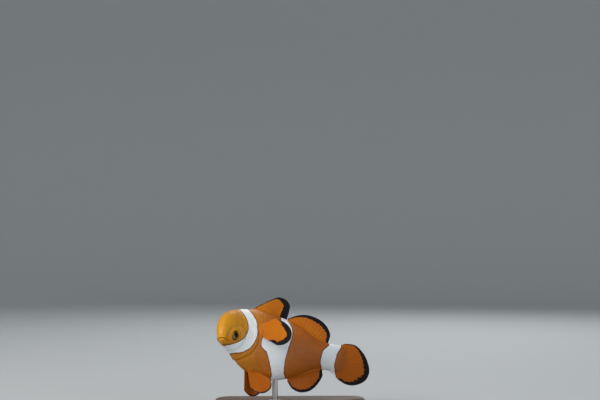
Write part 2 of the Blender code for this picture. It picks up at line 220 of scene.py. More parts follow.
def relief(p):
    """Height of the skin's folds over the plain body: a sum of smooth steps and bell curves
    for the lips, the nostril, the eye's socket and the groove below it, the cheek plates, the
    throat, the roots of the paired fins and the crests under the middle fins."""
    x, y, z = p[..., 0], np.abs(p[..., 1]), p[..., 2]
    side = np.stack([x, y, z], axis=-1)

    from_gape = z - (MOUTH_Z + MOUTH_FALL * x)
    jaw = ramp(MOUTH_END_X + 0.8, MOUTH_END_X - 1.4, x)
    high = 0.36 * jaw * hump((from_gape - 0.85) / 0.62) - 0.1 * jaw * hump((from_gape - 2.1) / 0.35)
    high += 0.36 * jaw * hump((from_gape + 0.9) / 0.62) - 0.1 * jaw * hump((from_gape + 2.3) / 0.4)
    high -= 0.85 * ramp(MOUTH_END_X, MOUTH_END_X - 1.1, x) * hump(from_gape / 0.20)
    high += 0.12 * hump((x - MOUTH_END_X - 0.4) / 0.9) * hump((from_gape + 0.4) / 1.1)

    hole = np.linalg.norm(side - NOSTRIL, axis=-1)
    high += 0.22 * hump((hole - 0.72) / 0.24) - 0.6 * hump(hole / 0.4)

    out, along = from_eye(side)
    out = np.where(along > 0, out, 99.0)
    high -= 2.0 * ramp(3.5, 2.9, out)
    high += 0.3 * hump((out - 4.0) / 0.6) - 0.14 * hump((out - 5.4) / 0.5)

    under_eye = z + 4.4 + 0.2 * (x - EYE_AT[0])
    high -= 0.16 * hump(under_eye / 0.3) * ramp(4.5, 7.0, x) * ramp(15.5, 12.5, x)

    past = past_edge(x, z, PREOPERCLE_Z, PREOPERCLE_X)
    whole = ramp(8.5, 5.5, z) * ramp(-10.5, -8.5, z)
    high += 0.26 * whole * ramp(-4.5, -0.3, past) * ramp(0.4, -0.1, past)
    high -= 0.12 * whole * hump((past - 0.5) / 0.35)

    past = past_edge(x, z, GILL_Z, GILL_X)
    whole = ramp(15.0, 12.0, z) * ramp(-19.0, -15.0, z)
    high += 0.42 * whole * ramp(-6.0, -0.5, past) * ramp(0.45, -0.15, past)
    high -= 0.24 * whole * hump((past - 0.6) / 0.4)

    throat = ramp(-8.0, -11.0, z) * ramp(3.0, 8.0, x) * ramp(26.0, 18.0, x)
    high -= 0.14 * throat * (hump((y - 1.3) / 0.3) + hump((y - 2.5) / 0.3) + hump((y - 3.7) / 0.3))

    lobe_x, lobe_z = PECTORAL_LOBE
    high += 1.0 * hump((x - lobe_x) / 1.9) * hump((z - lobe_z) / 4.6)
    high += 0.6 * hump((x - 31.5) / 3.0) * hump((y - 2.4) / 1.8) * ramp(-13, -17, z)
    crest = hump(y / 1.3)
    high += 0.3 * crest * ramp(0, 5, z) * ramp(29, 36, x) * ramp(90, 82, x)
    high += 0.3 * crest * ramp(0, -5, z) * ramp(57, 63, x) * ramp(90, 82, x)
    return high


def hide(s, angle):
    """Straight-fish points of the skin and its plain normals, worked out by differences."""
    step = 1e-3
    along = body(s + step, angle) - body(np.maximum(s - step, 1e-5), angle)
    around = body(s, angle + step) - body(s, angle - step)
    normal = np.cross(around, along)
    normal /= np.linalg.norm(normal, axis=-1, keepdims=True) + 1e-12
    plain = body(s, angle)
    return plain + normal * (relief(plain) - SKIN_SUNK)[..., None], normal


# The three white bars, as closed outlines on the side, x and z
BARS = {
    "head": (
        (21.6, 25.5), (19.6, 18.6), (20.3, 14.9), (21.5, 9.5), (21.1, 4.7), (18.3, -0.4),
        (13.9, -3.7), (8.0, -6.1), (3.0, -7.2), (2.0, -10.5), (7.5, -11.2), (13.2, -10.1),
        (18.0, -9.6), (22.0, -7.7), (25.4, -4.9), (29.0, 1.2), (29.8, 6.7), (29.4, 12.8), (27.2, 17.5),
        (25.6, 21.9), (25.8, 26.0),
    ),
    "middle": (
        (51.4, 25.0), (49.6, 18.5), (45.8, 15.0), (40.0, 10.0), (36.0, 4.0), (34.9, -0.6),
        (35.6, -3.6), (39.7, -6.0), (42.4, -10.7), (45.2, -16.5), (47.2, -20.4), (47.6, -24.5),
        (58.0, -24.5), (57.4, -19.7), (55.1, -17.2), (53.9, -10.5), (54.7, -3.6), (55.4, 0.6),
        (57.4, 8.5), (57.3, 13.6), (55.9, 17.2), (54.3, 19.4), (54.0, 25.0),
    ),
    "tail": (
        (90.5, 13.5), (87.5, 8.4), (82.8, 3.4), (81.9, -3.5), (84.4, -7.6), (89.0, -13.0),
        (98.6, -13.4), (97.9, -11.4), (95.8, -7.7), (93.5, -3.4), (94.3, 4.1), (97.0, 8.6),
        (98.0, 12.2), (97.0, 13.5),
    ),
}


def rounded(outline, count=160):
    """Closed smooth curve through the outline's corners."""
    pad = 3
    ring = np.array(outline[-pad:] + outline + outline[: pad + 1])
    t = np.linspace(pad, pad + len(outline), count, endpoint=False) / (len(ring) - 1)
    return np.stack([through(ring[:, 0], t), through(ring[:, 1], t)], axis=-1)


def inside_bar(x, z):
    """Signed distance to the nearest bar's edge, above 0 on the white: the least distance to
    the curve's segments, with the sign from counting the crossings to one side."""
    best = np.full(x.shape, -99.0)
    for outline in BARS.values():
        a = rounded(outline)
        b = np.roll(a, -1, axis=0)
        low, high = a.min(axis=0) - 4, a.max(axis=0) + 4
        near = (x > low[0]) & (x < high[0]) & (z > low[1]) & (z < high[1])
        p = np.stack([x[near], z[near]], axis=-1)[:, None]
        edge = b - a
        t = np.clip(((p - a) * edge).sum(-1) / (edge**2).sum(-1), 0, 1)
        gap = np.linalg.norm(p - a - t[..., None] * edge, axis=-1).min(axis=-1)
        spans = (a[:, 1] > p[..., 1]) != (b[:, 1] > p[..., 1])
        rise = np.where(np.abs(edge[:, 1]) < 1e-9, 1e-9, edge[:, 1])
        cross = a[:, 0] + (p[..., 1] - a[:, 1]) / rise * edge[:, 0]
        inside = (spans & (p[..., 0] < cross)).sum(axis=-1) % 2 == 1
        best[near] = np.maximum(best[near], np.where(inside, gap, -gap))
    return np.maximum(best, -4.0)


# Middle of the head bar: x at even steps of z
HEAD_BAR_Z = (-12.0, 24.0)
HEAD_BAR_X = (1.0, 13.0, 21.0, 24.0, 25.2, 25.4, 24.4, 22.4, 21.0)


def golden_share(x, z):
    """How yellow the skin is: all of the face in front of the head bar, and a third of it behind the
    bar, which fades out over the shoulder and falls below 0, a deeper orange, towards the tail. The
    deeper orange is partly the fish's own colour and partly painted shade."""
    t = (z - HEAD_BAR_Z[0]) / (HEAD_BAR_Z[1] - HEAD_BAR_Z[0])
    behind = x - through(HEAD_BAR_X, t)
    face = 0.67 * ramp(3.0, -3.0, behind) * ramp(-13.0, -10.0, z)
    return face + 0.33 * ramp(46.0, 24.0, x) - 0.7 * ramp(44.0, 84.0, x)


def flesh_marks(points):
    """The marks of skin and scales: bars and gold from x and z, and no margin of black."""
    x, z = points[:, 0], points[:, 2]
    nothing = np.zeros(len(points))
    return {
        "bar": inside_bar(x, z),
        "gold": golden_share(x, z),
        "black": nothing - 9.0,
        "rim": nothing,
    }


def grid_faces(rows, columns, closed):
    """Quads of a grid of points, row by row; a closed one joins its last column to its first."""
    i = np.arange(rows - 1)[:, None] * columns
    j = np.arange(columns if closed else columns - 1)[None, :]
    k = (j + 1) % columns
    return np.stack([i + j, i + k, i + columns + k, i + columns + j], axis=-1).reshape(-1, 4)


def capped_faces(rows, columns):
    """Triangles of a closed grid with both ends fanned to one point each, the last two points."""
    quads = grid_faces(rows, columns, closed=True)
    j = np.arange(columns)
    k = (j + 1) % columns
    count = rows * columns
    first = np.stack([np.full(columns, count), k, j], axis=-1)
    last = np.stack([np.full(columns, count + 1), count - columns + j, count - columns + k], axis=-1)
    return np.concatenate([quads[:, [0, 1, 2]], quads[:, [0, 2, 3]], first, last])


def grid_corners(rows, columns, closed):
    """For each quad corner of grid_faces, its place on a unit square: columns across, rows up."""
    count = columns if closed else columns - 1
    i, j = np.meshgrid(np.arange(rows - 1), np.arange(count), indexing="ij")
    down, over = i / (rows - 1), j / count
    low, side = 1 / (rows - 1), 1 / count
    across = np.stack([over, over + side, over + side, over], axis=-1)
    along = np.stack([down, down, down + low, down + low], axis=-1)
    return np.stack([across, along], axis=-1).reshape(-1, 2)


def piece(name, points, faces, finish, nodes, marks=None, corners=None):
    """Makes a mesh from points and equal-sided faces, with point attributes and the map, and
    sets it on the model in place of the nodes."""
    mesh = bpy.data.meshes.new(name)
    points = np.asarray(points, np.float32).reshape(-1, 3)
    faces = np.asarray(faces, np.int32)
    mesh.vertices.add(len(points))
    mesh.vertices.foreach_set("co", points.ravel())
    mesh.loops.add(faces.size)
    mesh.loops.foreach_set("vertex_index", faces.ravel())
    mesh.polygons.add(len(faces))
    mesh.polygons.foreach_set("loop_start", np.arange(len(faces), dtype=np.int32) * faces.shape[1])
    mesh.update(calc_edges=True)
    for mark, values in (marks or {}).items():
        layer = mesh.attributes.new(mark, "FLOAT", "POINT")
        layer.data.foreach_set("value", np.asarray(values, np.float32).ravel())
    if corners is not None:
        layer = mesh.uv_layers.new(name="OFBake")
        layer.data.foreach_set("uv", np.asarray(corners, np.float32).ravel())
    mesh.shade_smooth()
    mesh.materials.append(finish)
    made = bpy.data.objects.new(name, mesh)
    bpy.context.scene.collection.objects.link(made)
    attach(made, "root")
    if nodes:
        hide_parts(*nodes)


# Colours of the fish: its orange and what yellows, deepens and speckles it, its white and what shades
# it, the thin dark edges of the bars, and the fins' margin and outer rim. The deeper orange towards the
# tail and on the lower fins is partly the fish's own colour and partly painted shade.
ORANGE = (0.53, 0.145, 0.003, 1)
GOLD = (0.65, 0.285, 0.005, 1)
# Deeper orange towards the tail and on the lower fins: partly the fish's own colour, partly painted
# shade
DEEP_ORANGE_AND_SHADE = (0.41, 0.095, 0.002, 1)
RUST = (0.26, 0.05, 0.003, 1)
SPECK = (0.66, 0.29, 0.03, 1)
FLECK = (0.16, 0.05, 0.01, 1)
WHITE = (0.86, 0.88, 0.88, 1)
PEARL_SHADE = (0.78, 0.82, 0.84, 1)
PEARL_FLECK = (0.55, 0.62, 0.66, 1)
BAR_EDGE = (0.045, 0.018, 0.006, 1)
BLACK = (0.006, 0.005, 0.006, 1)
RIM = (0.16, 0.20, 0.24, 1)


def add(tree, kind, inputs=None, **settings):
    """A shader node with its settings, and its inputs given as numbers or linked sockets."""
    made = tree.nodes.new(kind)
    for key, value in settings.items():
        setattr(made, key, value)
    for key, value in (inputs or {}).items():
        if isinstance(value, bpy.types.NodeSocket):
            tree.links.new(value, made.inputs[key])
        else:
            made.inputs[key].default_value = value
    return made


def maths(tree, how, a, b=0.0, clamp=False):
    """A math node of that kind on one or two numbers."""
    return add(tree, "ShaderNodeMath", {0: a, 1: b}, operation=how, use_clamp=clamp).outputs[0]


def plus(tree, a, b, clamp=False):
    return maths(tree, "ADD", a, b, clamp)


def less(tree, a, b, clamp=False):
    return maths(tree, "SUBTRACT", a, b, clamp)


def times(tree, a, b):
    return maths(tree, "MULTIPLY", a, b)


def spread(tree, value, low, high):
    """low where value is 0 and high where it is 1."""
    ends = {"Value": value, "To Min": low, "To Max": high}
    return add(tree, "ShaderNodeMapRange", ends).outputs[0]


def mask(tree, value, start, end):
    """0 where value is at start and 1 at end, smoothly."""
    made = add(
        tree,
        "ShaderNodeMapRange",
        {"Value": value, "From Min": start, "From Max": end},
        interpolation_type="SMOOTHSTEP",
    )
    return made.outputs["Result"]


def mixed(tree, share, a, b, how="MIX"):
    """Colour a turned into colour b by the share."""
    made = add(tree, "ShaderNodeMix", data_type="RGBA", blend_type=how)
    for index, value in ((0, share), (6, a), (7, b)):
        if isinstance(value, bpy.types.NodeSocket):
            tree.links.new(value, made.inputs[index])
        else:
            made.inputs[index].default_value = value
    return made.outputs[2]


def mark(tree, name):
    """One of the mesh's own point marks."""
    return add(tree, "ShaderNodeAttribute", attribute_name=name).outputs["Fac"]


def noise(tree, place, scale, detail=3.0, rough=0.55):
    """Cloudy noise from 0 to 1, with scale lumps to the metre."""
    looks = {"Vector": place, "Scale": scale, "Detail": detail, "Roughness": rough}
    return add(tree, "ShaderNodeTexNoise", looks).outputs["Fac"]


def stretched(tree, place, scale):
    """The coordinates scaled apart along each axis, to draw noise out into lines."""
    return add(tree, "ShaderNodeMapping", {"Vector": place, "Scale": scale}).outputs[0]


def paint_group():
    """Colour of the living fish from its marks: orange, gold on the face, white bars with thin
    dark edges, black fin margins and their pale outer rim, each edge wavering a little."""
    tree = bpy.data.node_groups.new("clownfish_paint", "ShaderNodeTree")
    tree.interface.new_socket("Fleck", in_out="INPUT", socket_type="NodeSocketFloat")
    tree.interface.new_socket("Colour", in_out="OUTPUT", socket_type="NodeSocketColor")
    tree.interface.new_socket("Black", in_out="OUTPUT", socket_type="NodeSocketFloat")
    given = tree.nodes.new("NodeGroupInput")
    result = tree.nodes.new("NodeGroupOutput")
    fleck = given.outputs["Fleck"]
    place = add(tree, "ShaderNodeTexCoord").outputs["Object"]
    waver = less(tree, noise(tree, place, 1300, 2.0), 0.5)
    cloud = noise(tree, place, 95, 4.0)
    grain = noise(tree, place, 2600, 3.0)

    bar = plus(tree, mark(tree, "bar"), times(tree, waver, 0.7))
    white = mask(tree, bar, -0.14, 0.14)
    off_edge = maths(tree, "ABSOLUTE", plus(tree, bar, 0.42))
    edge = times(tree, mask(tree, off_edge, 0.5, 0.1), 0.8)
    black = plus(tree, mark(tree, "black"), times(tree, waver, 1.1))
    black = mask(tree, black, -0.3, 0.25)
    rim = mask(tree, mark(tree, "rim"), 0.0, 1.0)

    drift = times(tree, less(tree, cloud, 0.5), 0.5)
    gold = plus(tree, mark(tree, "gold"), drift, clamp=True)
    deep = less(tree, drift, mark(tree, "gold"), clamp=True)
    colour = mixed(tree, gold, ORANGE, GOLD)
    # The deeper orange, partly own colour and partly painted shade towards the tail and on the lower
    # fins
    colour = mixed(tree, deep, colour, DEEP_ORANGE_AND_SHADE)
    dull = mixed(tree, 0.22, colour, RUST)
    colour = mixed(tree, mask(tree, cloud, 0.30, 0.72), dull, colour)
    colour = mixed(tree, times(tree, mask(tree, grain, 0.62, 0.8), 0.25), colour, SPECK)
    colour = mixed(tree, edge, colour, BAR_EDGE)
    colour = mixed(tree, fleck, colour, FLECK, "MULTIPLY")
    pearl = mixed(tree, mask(tree, cloud, 0.3, 0.75), PEARL_SHADE, WHITE)
    pearl = mixed(tree, times(tree, fleck, 0.25), pearl, PEARL_FLECK)
    colour = mixed(tree, white, colour, pearl)
    colour = mixed(tree, black, colour, BLACK)
    colour = mixed(tree, rim, colour, RIM)
    tree.links.new(colour, result.inputs["Colour"])
    tree.links.new(black, result.inputs["Black"])
    return tree


PAINT = paint_group()


def new_finish(name):
    """An empty node material, its tree, its Principled shader and the Object coordinates."""
    made = bpy.data.materials.new(name)
    made.use_nodes = True
    tree = made.node_tree
    shader = tree.nodes["Principled BSDF"]
    return made, tree, shader, add(tree, "ShaderNodeTexCoord").outputs["Object"]


def raised(tree, shader, height, depth, strength):
    """Bump of a height from 0 to 1, that deep in metres, on the shader's normal."""
    made = add(tree, "ShaderNodeBump", {"Height": height, "Distance": depth, "Strength": strength})
    tree.links.new(made.outputs["Normal"], shader.inputs["Normal"])


def rough(tree, shader, value, low, high):
    """Roughness from low to high as value goes from 0 to 1."""
    tree.links.new(spread(tree, value, low, high), shader.inputs["Roughness"])


def fleshy(shader, weight, depth):
    """Light that goes a little way into flesh, red the deepest, at most that deep in metres."""
    shader.inputs["Subsurface Weight"].default_value = weight
    shader.inputs["Subsurface Radius"].default_value = (1.0, 0.45, 0.15)
    shader.inputs["Subsurface Scale"].default_value = depth


def skin_finish():
    """Moist skin: fine pores and faint embedded scales as bump, and gloss that varies in soft patches.
    """
    made, tree, shader, place = new_finish("golden_skin")
    paint = add(tree, "ShaderNodeGroup", {"Fleck": 0.0}, node_tree=PAINT)
    tree.links.new(paint.outputs["Colour"], shader.inputs["Base Color"])
    pore = noise(tree, place, 5200, 2.0)
    cell = add(tree, "ShaderNodeTexVoronoi", {"Vector": place, "Scale": 2100}, feature="SMOOTH_F1")
    cell = cell.outputs["Distance"]
    high = plus(tree, times(tree, pore, 0.35), times(tree, cell, -0.6))
    raised(tree, shader, high, 0.00006, 0.55)
    rough(tree, shader, mask(tree, noise(tree, place, 700), 0.2, 0.8), 0.40, 0.54)
    shader.inputs["Specular IOR Level"].default_value = 0.32
    shader.inputs["Coat Weight"].default_value = 0.05
    shader.inputs["Coat Roughness"].default_value = 0.2
    fleshy(shader, 0.10, 0.0012)
    return made


SKIN = skin_finish()

# Rings close together over the head, up to this root of x, and wider behind it
HEAD_RINGS = 240
BODY_RINGS = 100
HEAD_END = 0.565
AROUND = 288
SNOUT_TIP = 0.02
rings = np.concatenate([
    np.linspace(0.004, HEAD_END, HEAD_RINGS),
    np.linspace(HEAD_END, math.sqrt(STUB_X[1] / 100), BODY_RINGS + 1)[1:],
])[:, None]
turn = np.linspace(0, 2 * np.pi, AROUND, endpoint=False)[None, :] - np.pi / 2
skin, _ = hide(rings, evened(turn) + np.zeros_like(rings))
ends = np.stack([skin[0].mean(axis=0), skin[-1].mean(axis=0)])
ends[0, 0] -= SNOUT_TIP
points = np.concatenate([skin.reshape(-1, 3), ends])
square = grid_corners(skin.shape[0], AROUND, closed=True).reshape(-1, 4, 2)
share = np.arange(AROUND) / AROUND
cap = np.stack([np.full(AROUND, 0.5), share, share + 1 / AROUND], axis=-1)
nose_map = np.stack([cap[:, [0, 2, 1]], np.zeros_like(cap)], axis=-1)
stub_map = np.stack([cap, np.ones_like(cap)], axis=-1)
corners = np.concatenate([square[:, [0, 1, 2]], square[:, [0, 2, 3]], nose_map, stub_map])
piece(
    "skin", posed(points), capped_faces(skin.shape[0], AROUND), SKIN,
    ("head", "trunk", "tail"),
    marks=flesh_marks(points),
    corners=corners * (1.0, 0.98) + (0.0, 0.01),
)


# The eyes. Each is one glossy ball with a black pupil, a thin gold ring round it and a tan
# iris, set in a soft rim of skin that closes over its edge. The ball is cast and painted,
# then pressed into its socket.

PUPIL = (0.003, 0.003, 0.004, 1)
PUPIL_RING = (0.40, 0.21, 0.05, 1)
IRIS_DARK = (0.13, 0.062, 0.016, 1)
IRIS_PALE = (0.36, 0.19, 0.06, 1)
# Painted shade over the upper part of the iris
IRIS_SHADED = (0.07, 0.036, 0.014, 1)
# Dark outer ring: partly the iris's own rim, partly painted shade where the socket's skin closes over
# the ball
IRIS_RIM_AND_SOCKET_SHADE = (0.10, 0.045, 0.012, 1)


def eye_finish():
    """Painted eye: pupil, thin gold ring, fibrous tan iris with painted shade over its upper part, and a
    dark outer ring that is partly the iris's own rim and partly painted shade where the skin rim closes
    over the ball.
    """
    made, tree, shader, place = new_finish("glossy_eye")
    fibre = noise(tree, place, 4200, 4.0, 0.7)
    out = plus(tree, mark(tree, "out"), times(tree, less(tree, fibre, 0.5), 0.22))
    iris = mixed(tree, mask(tree, fibre, 0.35, 0.68), IRIS_DARK, IRIS_PALE)
    # Painted shade: the iris darkens towards its top
    iris = mixed(tree, mask(tree, mark(tree, "up"), 0.2, 2.3), iris, IRIS_SHADED)
    # Dark outer ring, partly the iris's rim and partly painted shade of the socket's edge
    iris = mixed(tree, mask(tree, out, 2.5, 3.1), iris, IRIS_RIM_AND_SOCKET_SHADE)
    iris = mixed(tree, mask(tree, out, 2.12, 1.98), iris, PUPIL_RING)
    iris = mixed(tree, mask(tree, out, 1.95, 1.83), iris, PUPIL)
    tree.links.new(iris, shader.inputs["Base Color"])
    rough(tree, shader, mask(tree, out, 1.8, 2.1), 0.06, 0.35)
    shader.inputs["Specular IOR Level"].default_value = 0.10
    return made


EYE = eye_finish()
EYE_SIDE = np.cross(EYE_AXIS, (0.0, 0.0, 1.0))
EYE_UP = np.array((0.0, 0.0, 1.0))
MIRROR = np.array((1.0, -1.0, 1.0))
CORNEA_SWELL = 0.22
CORNEA_WIDTH = 2.0


def eye_ball(rows=72, columns=96):
    """Flattened ball, with the cornea swollen a little over the pupil: row t from the pupil's
    middle to the back, column round the eye."""
    t = np.linspace(0.03, np.pi - 0.03, rows)[:, None]
    a = np.linspace(0, 2 * np.pi, columns, endpoint=False)[None, :]
    out = (EYE_RADIUS * np.sin(t) + 0 * a).ravel()
    deep = (EYE_DEPTH * np.cos(t) + 0 * a).ravel()
    side, up = out * np.tile(np.cos(a), rows).ravel(), out * np.tile(np.sin(a), rows).ravel()
    out, side, up = (np.append(values, (0.0, 0.0)) for values in (out, side, up))
    deep = np.append(deep, (EYE_DEPTH, -EYE_DEPTH))
    deep = deep + CORNEA_SWELL * hump(out / CORNEA_WIDTH) * (deep > 0)
    points = EYE_MIDDLE + deep[:, None] * EYE_AXIS + side[:, None] * EYE_SIDE + up[:, None] * EYE_UP
    return points, capped_faces(rows, columns), out, up


def eye_rim(rows=26, columns=160):
    """Skin round the eye: rows from the ball's edge out over the cheek, raised by a soft crest.
    Each point is the body's side at that x and z, moved out along the body's normal."""
    out = np.linspace(2.55, 5.2, rows)[:, None]
    a = np.linspace(0, 2 * np.pi, columns, endpoint=False)[None, :]
    x = EYE_MIDDLE[0] + out * np.cos(a) * EYE_SIDE[0]
    z = EYE_MIDDLE[2] + out * np.sin(a)
    s, angle = on_side(x, z)
    _, normal = hide(s, angle)
    high = -1.3 * ramp(3.1, 2.6, out) + 0.34 * hump((out - 3.35) / 0.4) + 0.28 * hump((out - 4.1) / 0.7)
    high = high - 0.16 * ramp(4.6, 5.2, out) - SKIN_SUNK + 0.05
    high = high + 0.10 * ramp(3.9, 3.2, out) * np.sin(a)
    return body(s, angle) + normal * high[..., None]


for side, flip in (("right", np.ones(3)), ("left", MIRROR)):
    ball, faces, out, up = eye_ball()
    faces = faces if side == "right" else faces[:, ::-1]
    piece(
        "eye_ball_" + side, posed(ball * flip), faces, EYE, ("eye_" + side,),
        marks={"out": np.where(ball @ EYE_AXIS > EYE_MIDDLE @ EYE_AXIS, out, 9.0), "up": up},
    )
    around_eye = eye_rim()
    quads = grid_faces(*around_eye.shape[:2], closed=True)
    quads = quads if side == "right" else quads[:, ::-1]
    flat = around_eye.reshape(-1, 3)
    piece(
        "eye_rim_" + side, posed(flat * flip), quads, SKIN, (),
        marks=flesh_marks(flat),
    )


# The scales. Thin horny plates in offset rows, each rooted under the one in front, from the
# cheeks and nape to the root of the tail fin. Their rear edges are rounded and stand a little
# free, and they carry the colours of the skin below.

SCALE_ROWS = 52
SCALES_FROM, SCALES_TO = 8.0, 103.2
SCALES_END = 104.4
COLUMN_SHARE = 0.78  # a column's pitch over a row's
COLUMN_PITCH = (0.72, 2.0)
SCALE_LONG = 1.55  # a scale's length over its column's pitch
SCALE_WIDE = 0.60  # half its width over its row's pitch
BARE_ROUND_EYE = 5.6
LOBE_REACH = (2.4, 5.0)
# The lateral line's height at even steps of x
LINE_X = (30.0, 76.0)
LINE_Z = (15.6, 17.0, 16.8, 15.0, 11.6, 7.4)


def scale_lattice():
    """Roots of the scales: columns spaced by the section's own girth, every second one moved
    by half a row, with each one's x, turn and column pitch."""
    x = np.linspace(SCALES_FROM, SCALES_TO, 2000)
    t = np.clip(np.sqrt(x / BODY_END), 0, 1)
    a, b = through(HALF_WIDTH, t), (through(BACK, t) - through(BELLY, t)) / 2
    girth = np.pi * (3 * (a + b) - np.sqrt((3 * a + b) * (a + 3 * b)))
    pitch = np.clip(COLUMN_SHARE * girth / SCALE_ROWS, *COLUMN_PITCH)
    done = np.concatenate([[0], np.cumsum((x[1] - x[0]) / pitch[1:])])
    column = np.arange(int(done[-1]))
    at = np.interp(column, done, x)
    row = np.arange(SCALE_ROWS)
    turn = (row[None, :] + 0.5 * (column[:, None] % 2)) * 2 * np.pi / SCALE_ROWS - np.pi / 2
    length = np.interp(at, x, pitch)[:, None] + 0 * turn
    return at[:, None] + 0 * turn, turn, length


def grows_scales(p):
    """Where scales grow: not round the eye, on the snout and chin, on the pectoral fin's lobe
    or along the gill cover's free edge."""
    x, z = p[:, 0], p[:, 2]
    out, along = from_eye(p)
    grows = (out > BARE_ROUND_EYE) | (along < 0)
    grows &= x > 8.5 + 0.36 * np.clip(z - 6, 0, 9)
    grows &= (x > 15) | (z > -6.5)
    lobe = [(p[:, axis] - at) / reach for axis, at, reach in zip((0, 2), PECTORAL_LOBE, LOBE_REACH)]
    grows &= lobe[0] ** 2 + lobe[1] ** 2 > 1
    gill = past_edge(x, z, GILL_Z, GILL_X)
    return grows & ((np.abs(gill + 0.6) > 0.95) | (z > 13.5) | (z < -16))


def plate(tube):
    """One scale on a grid of 7 by 7 points, as its way back, its way round and its height: r
    runs from root to free edge and q across. The height climbs with r and falls off towards
    the sides, the rim is sunk, and a short tube runs along a scale of the lateral line."""
    r = np.array((0.0, 0.25, 0.5, 0.75, 0.93, 1.0, 1.02))[:, None]
    q = np.array((-1.0, -0.88, -0.5, 0.0, 0.5, 0.88, 1.0))[None, :]
    back = SCALE_LONG * (r - 0.30 * q**2 * r)
    wide = SCALE_WIDE * q * (0.72 + 0.28 * np.sqrt(np.clip(r, 0, 1)))
    high = -0.06 + 0.20 * r ** 0.9 * (1 - 0.30 * q**2)
    high = high + 0.16 * tube * hump(q / 0.3) * ramp(0.1, 0.3, r) * ramp(1.0, 0.7, r)
    high = np.where((r > 1.01) | (np.abs(q) > 0.95), -0.12, high)
    return back, wide, high, r + 0 * q


def scales(side):
    """One side's scales: plates laid back along x and round the section from their roots, each
    a little off in place, tone and lift."""
    x, turn, length = (values.ravel() for values in scale_lattice())
    jitter = np.random.default_rng(7).uniform(-1, 1, (3, len(x)))
    x = x + 0.10 * length * jitter[0]
    root = body(np.sqrt(x / BODY_END), evened(turn)) * (1, side, 1)
    line = through(LINE_Z, (x - LINE_X[0]) / (LINE_X[1] - LINE_X[0]))
    on_line = (x > LINE_X[0]) & (x < LINE_X[1]) & (np.abs(root[:, 2] - line) < 0.62)
    keep = (np.cos(turn) * side > 0) & grows_scales(root)
    x, turn, length, on_line, tone, lift = (
        values[keep][:, None, None] for values in (x, turn, length, on_line, jitter[1], jitter[2])
    )
    back, wide, high, free = plate(on_line)
    ring = np.sqrt(np.clip(x + length * back, 0.01, SCALES_END) / BODY_END)
    base, normal = hide(ring, evened(turn + wide * 2 * np.pi / SCALE_ROWS))
    high = high * (1 + 0.25 * lift) * np.clip(length / 1.3, 0.45, 1.0)
    return base + normal * high[..., None], free, tone.ravel(), (x.ravel(), turn.ravel())


def scale_finish():
    """Horny plate: the paint, darker towards the free edge, with fine grain as bump and a gloss."""
    made, tree, shader, place = new_finish("orange_scale")
    free = mask(tree, mark(tree, "free"), 0.72, 1.0)
    fleck = plus(tree, times(tree, free, 0.20), mark(tree, "tone"), clamp=True)
    paint = add(tree, "ShaderNodeGroup", {"Fleck": fleck}, node_tree=PAINT)
    tree.links.new(paint.outputs["Colour"], shader.inputs["Base Color"])
    raised(tree, shader, noise(tree, place, 6500, 2.0), 0.00004, 0.5)
    rough(tree, shader, mask(tree, noise(tree, place, 900), 0.2, 0.8), 0.38, 0.52)
    shader.inputs["Specular IOR Level"].default_value = 0.32
    shader.inputs["Coat Weight"].default_value = 0.06
    shader.inputs["Coat Roughness"].default_value = 0.18
    fleshy(shader, 0.08, 0.001)
    return made


SCALE = scale_finish()
MAP_LENGTH = 106
MAP_PATCH = 0.003

for name, side in (("right", 1.0), ("left", -1.0)):
    points, free, tone, (root_x, root_turn) = scales(side)
    number, rows, columns = points.shape[:3]
    one = grid_faces(rows, columns, closed=False)
    faces = (np.arange(number)[:, None, None] * rows * columns + one[None]).reshape(-1, 4)
    flat = points.reshape(-1, 3)
    tones = np.repeat(0.05 + 0.07 * tone, rows * columns)
    patch = grid_corners(rows, columns, closed=False) - 0.5
    home = np.stack([(root_turn + np.pi / 2) % np.pi / np.pi, root_x / MAP_LENGTH], axis=-1)
    corners = (0.01 + 0.98 * home)[:, None] + MAP_PATCH * patch
    piece(
        "scales_" + name, posed(flat), faces, SCALE, (),
        marks=flesh_marks(flat) | {"free": np.tile(free.ravel(), number), "tone": tones},
        corners=corners.reshape(-1, 2),
    )


# The fins on the middle line. The front dorsal fin is ten stiff spines with web between, the
# others are soft branching rays. Each is one thin leaf whose rays stand out on both faces,
# thick and fleshy where it grows from the body, with a black margin.

WEB_HALF = 0.11  # half the web's thickness
RAY_TAPER = 0.75  # the share of its stoutness that a ray loses on its way out
FLESH_OUT = 2.2  # how far out from its root a fin is at its fleshiest
FLESH_FADE = 1.5
EDGE_THIN = 0.35  # the share of the thickness that is left at the free edge


def fin_finish():
    """Fin web: the paint, with rays a little deeper in colour and cross joints as fine bump."""
    made, tree, shader, place = new_finish("fin_web")
    ray = mark(tree, "ray")
    fleck = times(tree, mask(tree, ray, 0.25, 0.95), 0.08)
    paint = add(tree, "ShaderNodeGroup", {"Fleck": fleck}, node_tree=PAINT)
    tree.links.new(paint.outputs["Colour"], shader.inputs["Base Color"])
    joints = maths(tree, "SINE", times(tree, mark(tree, "along"), 9.0))
    joints = times(tree, mask(tree, joints, 0.5, 1.0), mask(tree, ray, 0.3, 0.9))
    web = noise(tree, place, 5200, 2.0)
    high = plus(tree, times(tree, joints, -0.5), times(tree, web, 0.5))
    raised(tree, shader, high, 0.00004, 0.6)
    rough(tree, shader, paint.outputs["Black"], 0.46, 0.62)
    shader.inputs["Specular IOR Level"].default_value = 0.14
    fleshy(shader, 0.10, 0.001)
    return made


FIN = fin_finish()


